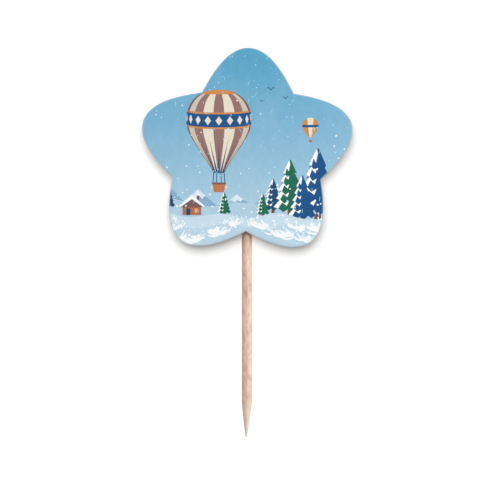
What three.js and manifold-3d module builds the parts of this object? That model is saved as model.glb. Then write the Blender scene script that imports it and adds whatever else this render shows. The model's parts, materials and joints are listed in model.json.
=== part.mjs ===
// Cupcake pick: a die-cut card star held on a round wooden toothpick by glue and a paper patch.
// Millimetres. +Z runs up the toothpick, the printed face looks along -Y, and the origin is on the
// toothpick's axis, level with the end of its lower point.

import * as THREE from 'three';
import { mergeVertices } from 'three/addons/utils/BufferGeometryUtils.js';
import Module from 'manifold-3d';

const wasm = await Module();
wasm.setup();

// Toothpick: stock round birch, ground to a point at both ends
const stickLength = 65;
const stickDiameter = 2;
const pointLength = 7.1;
const pointEndDiameter = 0.3;
const pointFullness = 0.8; // 1 is a straight cone, less than 1 is rounder
const pointDrift = 0.15; // how far off the axis each point ends, towards -X

// Star: five round lobes with sharp corners between them, die-cut from one sheet of card
const cardThickness = 0.4;
const lobeCount = 5;
const lobeReach = 20.6; // centre to the end of a lobe
const cornerReach = 14.7; // centre to the corner between two lobes
const lobeEndHandle = 4.1; // how far the round end runs on before it bends
const lobeSideHandle = 3.8; // how far the side runs on from the corner before it bends
const lobeSideLean = 27; // degrees that a side leans in towards its lobe's axis
const starWidthRatio = 1.02; // width over that of a regular star
const starTurn = 0.8; // degrees clockwise on the stick, seen from the front
const bareStick = 39.6; // stick that shows below the lowest corner

// Glue: a pressed bead that fills the grooves between the stick and the card
const glueFilm = 0.1; // between the stick and the card where they come closest
const glueWidth = 4.4;
const glueHeight = 1.35;
const glueLength = 18.5;
const glueAboveCorner = 3.2;

// Patch: self-adhesive paper, flat on the card at both sides and folded up over the stick
const patchThickness = 0.12;
const patchWidth = 17;
const patchHeight = 14;
const patchCornerRadius = 2;
const patchAboveCorner = 2;
const tentAngle = 35; // degrees between the card and the paper that climbs to the stick
const foldRadius = 0.8; // where the paper leaves the card

// A hair's breadth that keeps glued, curved faces apart
const bondGap = 0.02;

// Facets
const stickSides = 40;
const pointRings = 9;
const lobeSteps = 14; // along each half of a lobe
const glueSides = 32;
const glueEndRings = 6;
const foldSteps = 6;
const tentSteps = 18; // round the top of the stick
const roundCornerSteps = 6;

const stickRadius = stickDiameter / 2;
const pointEndRadius = pointEndDiameter / 2;
const cardBackY = -(stickRadius + glueFilm);
const starCentreZ = bareStick + cornerReach;
const glueCentreZ = bareStick + glueAboveCorner + glueLength / 2;
const patchCentreZ = bareStick + patchAboveCorner + patchHeight / 2;
const degrees = THREE.MathUtils.degToRad;

const materials = {
    card: new THREE.MeshStandardMaterial({ color: 0x7cb4d2, roughness: 0.35, metalness: 0 }),
    wood: new THREE.MeshStandardMaterial({ color: 0xddb89c, roughness: 0.7, metalness: 0 }),
    glue: new THREE.MeshStandardMaterial({ color: 0xe9e3cf, roughness: 0.3, metalness: 0 }),
    paper: new THREE.MeshStandardMaterial({ color: 0xf4f3ef, roughness: 0.8, metalness: 0 }),
};

// Solids for cutting and joining

function toSolid(geometry) {
    const bare = geometry.clone();
    bare.deleteAttribute('normal');
    bare.deleteAttribute('uv');
    const merged = mergeVertices(bare, 1e-5);
    const corners = merged.index.array;
    const faces = [];
    for (let i = 0; i < corners.length; i += 3) {
        const [a, b, c] = corners.slice(i, i + 3);
        if (a !== b && b !== c && c !== a) faces.push(a, b, c);
    }
    return new wasm.Manifold(new wasm.Mesh({
        numProp: 3,
        vertProperties: merged.attributes.position.array,
        triVerts: new Uint32Array(faces),
    }));
}

function toGeometry(solid) {
    const mesh = solid.getMesh();
    const geometry = new THREE.BufferGeometry();
    geometry.setAttribute('position', new THREE.BufferAttribute(mesh.vertProperties, 3));
    geometry.setIndex(new THREE.BufferAttribute(mesh.triVerts, 1));
    const flat = geometry.toNonIndexed();
    flat.computeVertexNormals();
    return flat;
}

// Toothpick

function pointRadius(fromEnd) {
    if (fromEnd >= pointLength) return stickRadius;
    if (fromEnd <= pointEndRadius) {
        return Math.sqrt(pointEndRadius ** 2 - (pointEndRadius - fromEnd) ** 2);
    }
    const along = (fromEnd - pointEndRadius) / (pointLength - pointEndRadius);
    return pointEndRadius + (stickRadius - pointEndRadius) * along ** pointFullness;
}

// The end is a small half round, and the rings get closer together towards it.
function pointStations() {
    const stations = [0.15, 0.5].map((share) => share * pointEndRadius);
    for (let i = 0; i <= pointRings; i += 1) {
        const share = (i / pointRings) ** 1.5;
        stations.push(pointEndRadius + share * (pointLength - pointEndRadius));
    }
    return stations;
}

// swell widens the whole stick evenly, for the seat that it leaves in the glue.
function stickGeometry(swell = 0) {
    const lower = pointStations();
    const upper = lower.map((height) => stickLength - height).reverse();
    const profile = [...lower, ...upper].map((height) => {
        const fromEnd = Math.min(height, stickLength - height);
        return new THREE.Vector2(pointRadius(fromEnd) + swell, height);
    });
    profile.unshift(new THREE.Vector2(0, -swell));
    profile.push(new THREE.Vector2(0, stickLength + swell));

    const geometry = new THREE.LatheGeometry(profile, stickSides);
    geometry.rotateX(Math.PI / 2);
    const position = geometry.attributes.position;
    for (let i = 0; i < position.count; i += 1) {
        const height = position.getZ(i);
        const fromEnd = Math.min(height, stickLength - height);
        const ground = THREE.MathUtils.clamp(1 - fromEnd / pointLength, 0, 1);
        position.setX(i, position.getX(i) - pointDrift * ground);
    }
    return geometry;
}

// Printed card

// One half lobe is a cubic curve from the lobe's end, on its axis, to the corner beside it.
function halfLobe() {
    const half = Math.PI / lobeCount;
    const lean = degrees(lobeSideLean);
    const end = new THREE.Vector2(0, lobeReach);
    const endHandle = new THREE.Vector2(lobeEndHandle, lobeReach);
    const corner = new THREE.Vector2(Math.sin(half), Math.cos(half)).multiplyScalar(cornerReach);
    const cornerHandle = corner.clone();
    cornerHandle.x -= lobeSideHandle * Math.sin(lean);
    cornerHandle.y += lobeSideHandle * Math.cos(lean);
    return { end, endHandle, cornerHandle, corner };
}

function starShape() {
    const half = halfLobe();
    const place = (point, lobe, side) => {
        const turned = new THREE.Vector2(side * point.x, point.y);
        turned.rotateAround(new THREE.Vector2(), -degrees(starTurn) - (lobe * 2 * Math.PI) / lobeCount);
        return [turned.x * starWidthRatio, turned.y];
    };
    const shape = new THREE.Shape();
    shape.moveTo(...place(half.corner, 0, -1));
    for (let lobe = 0; lobe < lobeCount; lobe += 1) {
        shape.bezierCurveTo(
            ...place(half.cornerHandle, lobe, -1),
            ...place(half.endHandle, lobe, -1),
            ...place(half.end, lobe, -1),
        );
        shape.bezierCurveTo(
            ...place(half.endHandle, lobe, 1),
            ...place(half.cornerHandle, lobe, 1),
            ...place(half.corner, lobe, 1),
        );
    }
    return shape;
}

function cardGeometry() {
    const geometry = new THREE.ExtrudeGeometry(starShape(), {
        depth: cardThickness,
        bevelEnabled: false,
        curveSegments: lobeSteps,
    });
    return geometry.rotateX(Math.PI / 2);
}

// Backing patch

// The paper's section, seen along the stick. Both its faces follow the same path: flat on the card,
// up round the fold, straight to the stick, and over it. lift is the height above the path's lower
// face.
function tentPath(lift) {
    const angle = degrees(tentAngle);
    const overStick = stickRadius + bondGap;
    const foldCentreY = cardBackY + foldRadius;
    const foldCentreX = -(foldRadius + overStick - foldCentreY * Math.cos(angle)) / Math.sin(angle);
    const left = [new THREE.Vector2(-patchWidth / 2, cardBackY + lift)];
    for (let i = 0; i <= foldSteps; i += 1) {
        const turn = (angle * i) / foldSteps;
        left.push(new THREE.Vector2(
            foldCentreX + (foldRadius - lift) * Math.sin(turn),
            foldCentreY - (foldRadius - lift) * Math.cos(turn),
        ));
    }
    for (let i = 0; i < tentSteps / 2; i += 1) {
        const turn = angle * (1 - (2 * i) / tentSteps);
        left.push(new THREE.Vector2(
            -(overStick + lift) * Math.sin(turn),
            (overStick + lift) * Math.cos(turn),
        ));
    }
    const top = new THREE.Vector2(0, overStick + lift);
    const right = left.map((point) => new THREE.Vector2(-point.x, point.y)).reverse();
    return [...left, top, ...right];
}

function roundedRectangle(width, height, radius) {
    const shape = new THREE.Shape();
    const x = width / 2 - radius;
    const y = height / 2 - radius;
    shape.absarc(x, y, radius, 0, Math.PI / 2);
    shape.absarc(-x, y, radius, Math.PI / 2, Math.PI);
    shape.absarc(-x, -y, radius, Math.PI, 1.5 * Math.PI);
    shape.absarc(x, -y, radius, 1.5 * Math.PI, 2 * Math.PI);
    return shape;
}

function patchGeometry() {
    const section = new THREE.Shape([...tentPath(0), ...tentPath(patchThickness).reverse()]);
    const strip = new THREE.ExtrudeGeometry(section, { depth: patchHeight, bevelEnabled: false });
    strip.translate(0, 0, -patchHeight / 2);

    const blank = new THREE.ExtrudeGeometry(
        roundedRectangle(patchWidth, patchHeight, patchCornerRadius),
        { depth: 4 * stickDiameter, bevelEnabled: false, curveSegments: roundCornerSteps },
    );
    blank.rotateX(Math.PI / 2);
    blank.translate(0, 2 * stickDiameter, 0);
    return toGeometry(toSolid(strip).intersect(toSolid(blank)));
}

// Glue bead

// A flattened bead with round ends: its lower half is lost in the card's plane, the stick lies in it,
// and where the patch covers it the paper has pressed it down.
function glueGeometry() {
    const radius = glueWidth / 2;
    const bead = new THREE.CapsuleGeometry(radius, glueLength - glueWidth, glueEndRings, glueSides);
    bead.rotateX(Math.PI / 2);
    bead.scale(1, glueHeight / radius, 1);

    const cardSide = new THREE.BoxGeometry(2 * glueWidth, 2 * glueHeight, 2 * glueLength);
    cardSide.translate(0, -glueHeight, 0);

    const stick = stickGeometry(bondGap);
    stick.translate(0, -cardBackY, -glueCentreZ);

    const aboveBead = stickDiameter + glueHeight;
    const pressedSection = new THREE.Shape([
        ...tentPath(-bondGap),
        new THREE.Vector2(patchWidth / 2, aboveBead),
        new THREE.Vector2(-patchWidth / 2, aboveBead),
    ]);
    const pressed = new THREE.ExtrudeGeometry(pressedSection, { depth: patchHeight, bevelEnabled: false });
    pressed.translate(0, -cardBackY, patchCentreZ - patchHeight / 2 - glueCentreZ);

    const solid = toSolid(bead)
        .subtract(toSolid(cardSide))
        .subtract(toSolid(stick))
        .subtract(toSolid(pressed));
    return toGeometry(solid);
}

// Assembly

function addPiece(parent, name, geometry, material, place) {
    const mesh = new THREE.Mesh(geometry, material);
    mesh.name = name;
    mesh.position.copy(place);
    parent.add(mesh);
}

const pick = new THREE.Group();
const cardCentre = new THREE.Vector3(0, cardBackY, starCentreZ);
const glueCentre = new THREE.Vector3(0, cardBackY, glueCentreZ);
const patchCentre = new THREE.Vector3(0, 0, patchCentreZ);

addPiece(pick, 'toothpick', stickGeometry(), materials.wood, new THREE.Vector3());
addPiece(pick, 'printed_card', cardGeometry(), materials.card, cardCentre);
addPiece(pick, 'glue_bead', glueGeometry(), materials.glue, glueCentre);
addPiece(pick, 'backing_patch', patchGeometry(), materials.paper, patchCentre);

export default pick;
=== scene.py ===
# %% [markdown]
# # A cupcake pick
# A cupcake pick is a small printed card on a toothpick, which stands in the icing. The sizes come
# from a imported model, the frame, which holds the star of card, the stick, the bead of glue and the
# paper patch at their real places. This lesson makes the fine surfaces and finishes of those four
# pieces around it, and sets up the camera, the lamps and the white sheet behind the pick.

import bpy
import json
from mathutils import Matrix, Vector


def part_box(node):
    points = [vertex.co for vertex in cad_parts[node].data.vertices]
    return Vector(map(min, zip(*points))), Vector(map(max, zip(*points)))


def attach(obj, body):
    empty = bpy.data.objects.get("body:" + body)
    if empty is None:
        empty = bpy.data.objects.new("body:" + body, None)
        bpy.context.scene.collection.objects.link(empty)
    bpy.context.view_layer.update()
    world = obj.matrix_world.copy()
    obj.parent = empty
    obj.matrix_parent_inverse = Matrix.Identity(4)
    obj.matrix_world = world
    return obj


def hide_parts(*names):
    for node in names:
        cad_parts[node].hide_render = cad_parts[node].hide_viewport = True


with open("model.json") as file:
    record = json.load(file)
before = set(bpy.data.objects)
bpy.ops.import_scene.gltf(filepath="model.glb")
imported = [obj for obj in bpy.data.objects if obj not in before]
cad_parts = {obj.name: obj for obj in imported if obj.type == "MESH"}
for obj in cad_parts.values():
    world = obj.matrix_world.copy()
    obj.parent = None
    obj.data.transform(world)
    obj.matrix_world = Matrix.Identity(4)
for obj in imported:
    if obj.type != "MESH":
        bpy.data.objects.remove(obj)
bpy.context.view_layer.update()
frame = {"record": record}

import json
import math
import random

import bmesh
import bpy
import numpy as np
from mathutils import Vector, noise
from mathutils.geometry import delaunay_2d_cdt

MM = 0.001
scene = bpy.context.scene

# %% [markdown]
# ## Sizes
# Everything below is written in millimetres and turned into metres when a mesh is made. What the
# frame knows is read from it: the stick's box gives its length and thickness, the card's box gives
# its two faces, and the mount on the printed face gives the middle of the star.

# %% Read the real sizes from the frame
stick_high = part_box("toothpick")[1] / MM
card_low, card_high = (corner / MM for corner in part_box("printed_card"))
patch_low, patch_high = (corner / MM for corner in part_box("backing_patch"))
glue_low, glue_high = (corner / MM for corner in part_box("glue_bead"))
mounts = {mount["name"]: mount for mount in frame["record"]["mounts"]}

stick_length = stick_high.z
stick_radius = stick_high.y
card_front = card_low.y
card_back = card_high.y
star_middle = mounts["printed_face"]["pos_m"][2] / MM
print(f"stick {2 * stick_radius:.1f} x {stick_length:.1f} mm, star's middle {star_middle:.1f} mm up")

# %% [markdown]
# ## Camera
# The pick is seen square from the front, so the camera looks along +Y. A long lens keeps the card
# free of perspective. The picture is 96 mm wide at the card, and its middle lies a little to the
# right of the stick and below the middle of the pick.

# %% Set the camera
picture_width = 96.15
picture_middle = Vector((0.58, card_front, 36.0))
lens = 150
sensor = 36
nearest_seen = 10

camera = bpy.data.objects.new("camera", bpy.data.cameras.new("camera"))
scene.collection.objects.link(camera)
camera.data.lens = lens
camera.data.sensor_width = sensor
camera.data.clip_start = nearest_seen * MM
camera_distance = picture_width * lens / sensor
camera.location = (picture_middle - Vector((0, camera_distance, 0))) * MM
camera.rotation_euler = (math.radians(90), 0, 0)
scene.camera = camera
scene.view_settings.view_transform = "Standard"
print(f"camera {camera_distance:.0f} mm in front of the card")

# %% [markdown]
# ## Lamps
# The pick hangs just in front of a white sheet. The card throws a soft shadow on the sheet, down and
# to the right, but the stick throws none, so the sheet has a lamp of its own, which only the card
# shades. The pick is lit by a large soft lamp steeply above it, so that the card shades the top of the
# stick, and by a smaller and slightly cool one at its right, which leaves the left side of the stick
# in soft shade. A third lamp stands behind and to one side, so that the paper and the glue at the back
# show their form. The room looks white, but gives only a little light.

# %% Hang the lamps
lit_height = 45


def lamp(name, direction, distance, size, power, tint=(1, 1, 1)):
    """A round soft lamp, in mm and watts, that looks at the stick's axis at lit_height."""
    target = Vector((0, 0, lit_height))
    data = bpy.data.lights.new(name, "AREA")
    data.shape = "DISK"
    data.size = size * MM
    data.energy = power
    data.color = tint
    thing = bpy.data.objects.new(name, data)
    thing.location = (target + Vector(direction).normalized() * distance) * MM
    thing.rotation_euler = (-Vector(direction)).to_track_quat("-Z", "Y").to_euler()
    scene.collection.objects.link(thing)
    return thing


cool_white = (0.86, 0.95, 1.0)
sheet_lamp = lamp("sheet_lamp", (-0.045, -1.0, 0.335), distance=3000, size=3200, power=284)
key_lamp = lamp("key_lamp", (-0.08, -0.42, 1.0), distance=900, size=900, power=15.7)
right_lamp = lamp("right_lamp", (1.0, -0.32, 0.1), distance=500, size=300, power=1.85, tint=cool_white)
back_lamp = lamp("back_lamp", (0.5, 1.0, 0.75), distance=500, size=220, power=2.7)
print("lamps:", [thing.name for thing in (sheet_lamp, key_lamp, right_lamp, back_lamp)])

# %% Light the room
room_light = 0.22
room_shown = 1.0


def end_in_mix(tree, share, first, second, end):
    """Ends a node tree in a mix of two shaders: the first where share is 0, the second where it is 1."""
    mix = tree.nodes.new("ShaderNodeMixShader")
    tree.links.new(share, mix.inputs[0])
    tree.links.new(first.outputs[0], mix.inputs[1])
    tree.links.new(second.outputs[0], mix.inputs[2])
    tree.links.new(mix.outputs[0], tree.nodes[end].inputs["Surface"])


world = bpy.data.worlds.new("room")
scene.world = world
world.use_nodes = True
room_nodes = world.node_tree
room = room_nodes.nodes["Background"]
room.inputs["Color"].default_value = (1, 1, 1, 1)
room.inputs["Strength"].default_value = room_light
shown = room_nodes.nodes.new("ShaderNodeBackground")
shown.inputs["Color"].default_value = (1, 1, 1, 1)
shown.inputs["Strength"].default_value = room_shown
ray = room_nodes.nodes.new("ShaderNodeLightPath")
end_in_mix(room_nodes, ray.outputs["Is Camera Ray"], room, shown, "World Output")
print(f"the room gives {room_light / room_shown:.0%} of the light that it shows")

# %% [markdown]
# ## The white sheet
# The sheet could be white paint under a weak lamp, but light that reaches it by way of the card's back
# would then fill the shadow. Grey paint under a strong lamp looks as white, and the shadow stays deep.
# The sheet is seen from its front alone and reflects nothing onto the pick, so that other views show
# the back of the pick as if the sheet weren't there.

# %% Hang the white sheet
sheet_gap = 0.15
sheet_half = 600
sheet_grey = 0.4
sheet_y = patch_high.y + sheet_gap

sheet_mesh = bpy.data.meshes.new("white_sheet")
sheet_corners = [(-1, -1), (1, -1), (1, 1), (-1, 1)]
sheet_points = [(x * sheet_half * MM, sheet_y * MM, z * sheet_half * MM) for x, z in sheet_corners]
sheet_mesh.from_pydata(sheet_points, [], [(0, 1, 2, 3)])
white_sheet = bpy.data.objects.new("white_sheet", sheet_mesh)
scene.collection.objects.link(white_sheet)
print(f"white sheet {sheet_y:.2f} mm behind the stick's axis")

# %% Paint the sheet
sheet_paint = bpy.data.materials.new("white_sheet")
sheet_paint.use_nodes = True
sheet_nodes = sheet_paint.node_tree
sheet_face = sheet_nodes.nodes["Principled BSDF"]
sheet_face.inputs["Base Color"].default_value = (sheet_grey, sheet_grey, sheet_grey, 1)
sheet_face.inputs["Roughness"].default_value = 1
sheet_face.inputs["Specular IOR Level"].default_value = 0
clear = sheet_nodes.nodes.new("ShaderNodeBsdfTransparent")
which_side = sheet_nodes.nodes.new("ShaderNodeNewGeometry")
end_in_mix(sheet_nodes, which_side.outputs["Backfacing"], sheet_face, clear, "Material Output")
sheet_mesh.materials.append(sheet_paint)
white_sheet.visible_shadow = False
white_sheet.visible_diffuse = False
white_sheet.visible_glossy = False
white_sheet.visible_transmission = False
print(f"the sheet's paint gives back {sheet_grey:.0%} of its lamp's light")

# %% [markdown]
# ## Helpers for materials
# A finish here is a Principled shader fed by a few patterns. Most helpers add one node and return its
# output, so that a material reads as a short list of what the surface shows. Patterns are placed by
# object coordinates, in metres, so a scale of 1000 repeats about once a millimetre.

# %% Patterns that a surface can show
def colour(red, green, blue):
    """A colour as printers and screens count it, 0 to 255, made ready for the shader."""
    parts = [part / 255 for part in (red, green, blue)]
    return tuple(p / 12.92 if p <= 0.04045 else ((p + 0.055) / 1.055) ** 2.4 for p in parts) + (1,)


class Patterns:
    """A new material, and the patterns that can be laid over its surface."""

    def __init__(self, name):
        self.material = bpy.data.materials.new(name)
        self.material.use_nodes = True
        self.tree = self.material.node_tree
        self.shader = self.tree.nodes["Principled BSDF"]
        self.place = self.tree.nodes.new("ShaderNodeTexCoord").outputs["Object"]

    def link(self, source, target):
        """Joins an output to an input."""
        self.tree.links.new(source, target)

    def stretched(self, scale):
        """Object coordinates, with a scale for each axis."""
        node = self.tree.nodes.new("ShaderNodeMapping")
        node.inputs["Scale"].default_value = scale
        self.link(self.place, node.inputs["Vector"])
        return node.outputs[0]

    def noise(self, scale, detail, rough, where=None):
        """Clouds from 0 to 1; more detail and roughness make them finer and harsher."""
        node = self.tree.nodes.new("ShaderNodeTexNoise")
        node.inputs["Scale"].default_value = scale
        node.inputs["Detail"].default_value = detail
        node.inputs["Roughness"].default_value = rough
        self.link(where or self.place, node.inputs["Vector"])
        return node.outputs["Fac"]

    def cells(self, scale):
        """Cells, 0 in the middle of each and rising towards its sides."""
        node = self.tree.nodes.new("ShaderNodeTexVoronoi")
        node.inputs["Scale"].default_value = scale
        self.link(self.place, node.inputs["Vector"])
        return node.outputs["Distance"]

    def axis(self, name):
        """The place along X, Y or Z."""
        node = self.tree.nodes.new("ShaderNodeSeparateXYZ")
        self.link(self.place, node.inputs[0])
        return node.outputs[name]

    def attribute(self, name):
        """A number that the mesh itself carries on its points."""
        node = self.tree.nodes.new("ShaderNodeAttribute")
        node.attribute_name = name
        return node.outputs["Fac"]


print("paper white for the shader:", [round(part, 3) for part in colour(248, 247, 243)])

# %% Colours from patterns
class Shades(Patterns):
    """Turns patterns into amounts and colours."""

    def feed(self, socket, value):
        """Links an output to a socket, or sets the socket to a plain value."""
        if hasattr(value, "is_linked"):
            self.link(value, socket)
        else:
            socket.default_value = value

    def spread(self, value, low, high, new_low=0.0, new_high=1.0):
        """Takes low..high to new_low..new_high, smoothly and without overshoot."""
        node = self.tree.nodes.new("ShaderNodeMapRange")
        node.interpolation_type = "SMOOTHSTEP"
        node.inputs["From Min"].default_value = low
        node.inputs["From Max"].default_value = high
        node.inputs["To Min"].default_value = new_low
        node.inputs["To Max"].default_value = new_high
        self.link(value, node.inputs["Value"])
        return node.outputs["Result"]

    def ramp(self, value, stops):
        """Turns a value into colours, each at its own place from 0 to 1."""
        node = self.tree.nodes.new("ShaderNodeValToRGB")
        while len(node.color_ramp.elements) < len(stops):
            node.color_ramp.elements.new(0.5)
        for element, (position, shade) in zip(node.color_ramp.elements, stops):
            element.position = position
            element.color = shade
        self.link(value, node.inputs["Fac"])
        return node.outputs["Color"]

    def two_tone(self, pattern, dark, light):
        """A dark colour where the pattern is low and a light one where it is high."""
        return self.ramp(pattern, [(0.3, dark), (0.7, light)])

    def blend(self, amount, first, second):
        """Mixes two colours, each a colour or an output."""
        node = self.tree.nodes.new("ShaderNodeMix")
        node.data_type = "RGBA"
        for value, name in ((amount, "Factor"), (first, "A"), (second, "B")):
            socket = next(s for s in node.inputs if s.name == name and s.enabled)
            self.feed(socket, value)
        return next(s for s in node.outputs if s.enabled)

    def tint(self, base, pattern, low, high, most, shade):
        """Lays a shade over the base, from none where the pattern is low to the most where it is high."""
        return self.blend(self.spread(pattern, low, high, 0.0, most), base, shade)


# %% The finished surface
class Finish(Shades):
    """Gives a surface its colour, roughness and relief."""

    def sum(self, first, second, share):
        """first + share * second."""
        node = self.tree.nodes.new("ShaderNodeMath")
        node.operation = "MULTIPLY_ADD"
        self.link(second, node.inputs[0])
        node.inputs[1].default_value = share
        self.link(first, node.inputs[2])
        return node.outputs[0]

    def relief(self, height, depth, strength):
        """Bumps the surface by depth mm where height is 1."""
        node = self.tree.nodes.new("ShaderNodeBump")
        node.inputs["Distance"].default_value = depth * MM
        node.inputs["Strength"].default_value = strength
        self.link(height, node.inputs["Height"])
        self.link(node.outputs[0], self.shader.inputs["Normal"])

    def set(self, **values):
        """Feeds the shader's own sockets, named in lower case with underscores."""
        for name, value in values.items():
            self.feed(self.shader.inputs[name.replace("_", " ").title().replace("Ior", "IOR")], value)


print("a finish is made with:", [name for name in dir(Finish) if not name.startswith("_")])

# %% Helpers for meshes
def mesh_from(name, verts, faces):
    """A mesh in metres from points in mm."""
    mesh = bpy.data.meshes.new(name)
    mesh.from_pydata([Vector(v) * MM for v in verts], [], faces)
    mesh.validate()
    return mesh


def piece(mesh, finishes, sharp):
    """Puts a mesh in the scene under its own name, with its finishes, and rides it on the pick."""
    for finish in finishes:
        mesh.materials.append(finish.material)
    mesh.polygons.foreach_set("use_smooth", [True] * len(mesh.polygons))
    mesh.set_sharp_from_angle(angle=math.radians(sharp))
    thing = bpy.data.objects.new(mesh.name, mesh)
    scene.collection.objects.link(thing)
    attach(thing, "root")
    print(f"{thing.name}: {len(mesh.vertices)} points, {len(mesh.polygons)} faces")
    return thing


# %% [markdown]
# ## The toothpick
# A toothpick is turned from birch and ground to a point at both ends. It could be a plain cylinder
# with a grain picture, but the grain shows on its outline too, so the mesh follows it: rings of
# points up the stick, each pushed in and out a few hundredths of a millimetre by long flutes that
# wander slowly round the stick, with flat places where the grinding wheel took the points down.

# %% Sizes of the toothpick
point_length = 7.1
point_end_radius = 0.15
point_fullness = 1.28
point_drift = 0.15
stick_sides = 96
body_rings = 120
point_rings = 26


def stick_profile(from_end):
    """Half the thickness at a distance from the nearer end."""
    if from_end >= point_length:
        return stick_radius
    if from_end <= point_end_radius:
        return math.sqrt(max(0.0, point_end_radius**2 - (point_end_radius - from_end) ** 2))
    along = (from_end - point_end_radius) / (point_length - point_end_radius)
    return point_end_radius + (stick_radius - point_end_radius) * (1 - (1 - along) ** point_fullness)


print("thickness at 1, 3 and 5 mm from the end:", [round(2 * stick_profile(up), 2) for up in (1, 3, 5)])

# %% Grain that stands out of the stick
flutes = [
    # how many go round the stick, how deep, where they start, how fast they wander
    (5, 0.006, 0.7, 0.02),
    (9, 0.0045, 2.1, -0.03),
    (14, 0.003, 4.0, 0.015),
    (23, 0.002, 1.2, -0.01),
]
wave_depth = 0.012
ripple_depth = 0.005
waves_round = 2.3
waves_up = 0.11
facets_round = 6
facet_depth = 0.012
facet_twist = 0.9
smooth_end = 0.6


def wander(x, y, z):
    """Smooth noise at a place, from about -1 to 1."""
    return noise.noise(Vector((x, y, z)))


def grain_depth(angle, height):
    """How far the wood stands out or in, in mm: flutes, a slow waviness and the ground facets."""
    depth = sum(deep * math.sin(n * angle + start + turn * height) for n, deep, start, turn in flutes)
    around = Vector((waves_round * math.cos(angle), waves_round * math.sin(angle), waves_up * height))
    depth += wave_depth * wander(*around) + ripple_depth * wander(*(around * 4))
    from_end = min(height, stick_length - height)
    ground = max(0.0, 1 - from_end / point_length)
    facets = 4 * ground * (1 - ground) * math.cos(facets_round * angle + facet_twist * height)
    return (depth + facet_depth * facets) * min(1, from_end / smooth_end)


depths = [grain_depth(angle, stick_length / 2) for angle in range(7)]
print(f"the grain stands {min(depths):.3f} to {max(depths):.3f} mm out at half height")

# %% Model the toothpick
round_end_rings = (0.12, 0.4, 0.75)
ring_crowding = 1.4


def toothpick_shape():
    """Rings of points from end to end, crowded towards the ends, with a point at the middle of each end."""
    near = [point_end_radius * share for share in round_end_rings]
    for i in range(point_rings + 1):
        along = (i / point_rings) ** ring_crowding
        near.append(point_end_radius + (point_length - point_end_radius) * along)
    body = stick_length - 2 * point_length
    middle = [point_length + body * i / body_rings for i in range(1, body_rings)]
    heights = near + middle + [stick_length - h for h in reversed(near)]
    verts = [(-point_drift, 0, 0)]
    for height in heights:
        from_end = min(height, stick_length - height)
        shift = -point_drift * max(0.0, 1 - from_end / point_length)
        for i in range(stick_sides):
            angle = 2 * math.pi * i / stick_sides
            r = stick_profile(from_end) + grain_depth(angle, height)
            verts.append((shift + r * math.cos(angle), r * math.sin(angle), height))
    verts.append((-point_drift, 0, stick_length))
    top = len(verts) - 1
    last = top - stick_sides
    faces = []
    for i in range(stick_sides):
        j = (i + 1) % stick_sides
        faces.append((0, 1 + j, 1 + i))
        for ring in range(len(heights) - 1):
            a = 1 + ring * stick_sides
            b = a + stick_sides
            faces.append((a + i, a + j, b + j, b + i))
        faces.append((last + i, last + j, top))
    return verts, faces


toothpick_mesh = mesh_from("birch_toothpick", *toothpick_shape())
print(len(toothpick_mesh.polygons), "faces in the toothpick")

# %% [markdown]
# ### Birch
# Bare birch is a pale pinkish tan with a silky straight grain, short darker flecks along it, and
# faint blotches. Noise gives them all: stretched very long and fine for the grain, shorter for the
# mottle and the flecks, and left round for the blotches. The freshly ground points are paler, and the
# paleness there is also painted light, which makes up for the shade where each point tapers away from
# the lamps. The loose fibres that the grinding leaves catch the light at the stick's sides, which a
# little sheen gives.

# %% Finish of the toothpick
# The pale points are paler ground wood and also painted light, making up for the shade where each point
# tapers away from the lamps.
pale_and_painted_light_point = 4.5  # the ground wood is palest up to this far from each end
pale_and_painted_light_fade = 8.5  # and it is like the rest from this far on
# The paler lower end is bare end grain and also painted light for the shade on the tip, which faces down.
end_grain_and_painted_light = (0.4, 1.8)  # the lower end is paler still, which fades between these heights


def birch_finish():
    """Bare birch with its grain, mottle, blotches and flecks, paler where the points are ground, partly as
    painted light.
    """
    wood = Finish("birch")
    grain = wood.noise(1.0, 5, 0.65, wood.stretched((5200, 5200, 170)))
    streaks = wood.noise(1.0, 3, 0.5, wood.stretched((1700, 1700, 45)))
    mottle = wood.noise(1.0, 4, 0.65, wood.stretched((2300, 2300, 560)))
    blotches = wood.noise(420, 3, 0.6)
    flecks = wood.spread(wood.noise(1.0, 2, 0.5, wood.stretched((9000, 9000, 1100))), 0.6, 0.7)
    height = wood.axis("Z")

    tone = wood.sum(wood.spread(grain, 0.3, 0.7, 0.0, 0.6), wood.spread(streaks, 0.35, 0.65), 0.4)
    tones = [(0.0, colour(219, 182, 159)), (0.5, colour(236, 200, 177)), (1.0, colour(243, 212, 191))]
    base = wood.ramp(tone, tones)
    base = wood.tint(base, mottle, 0.48, 0.64, 1.0, colour(209, 167, 147))
    base = wood.tint(base, mottle, 0.44, 0.3, 0.5, colour(243, 214, 196))
    base = wood.tint(base, blotches, 0.5, 0.72, 0.65, colour(209, 169, 151))
    base = wood.tint(base, flecks, 0, 1, 0.45, colour(174, 128, 106))
    # Paler points: ground wood, and painted light for the shade where they taper away from the lamps.
    for end, way in ((0, 1), (stick_length, -1)):
        palest, plain = (end + way * pale_and_painted_light_point) * MM, (end + way * pale_and_painted_light_fade) * MM
        base = wood.blend(wood.spread(height, palest, plain, 0.7, 0.0), base, colour(255, 227, 206))
    # Paler lower end: end grain, and painted light for the shade on the tip that faces down.
    low, high = (up * MM for up in end_grain_and_painted_light)
    base = wood.blend(wood.spread(height, low, high, 0.6, 0.0), base, colour(232, 224, 216))

    wood.set(base_color=base, roughness=wood.spread(grain, 0.3, 0.7, 0.62, 0.8))
    wood.set(specular_ior_level=0.3, sheen_weight=0.4, sheen_roughness=0.4)
    wood.relief(wood.sum(grain, streaks, 0.6), 0.012, 0.8)
    return wood


toothpick = piece(toothpick_mesh, [birch_finish()], sharp=60)
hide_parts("toothpick")

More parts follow.
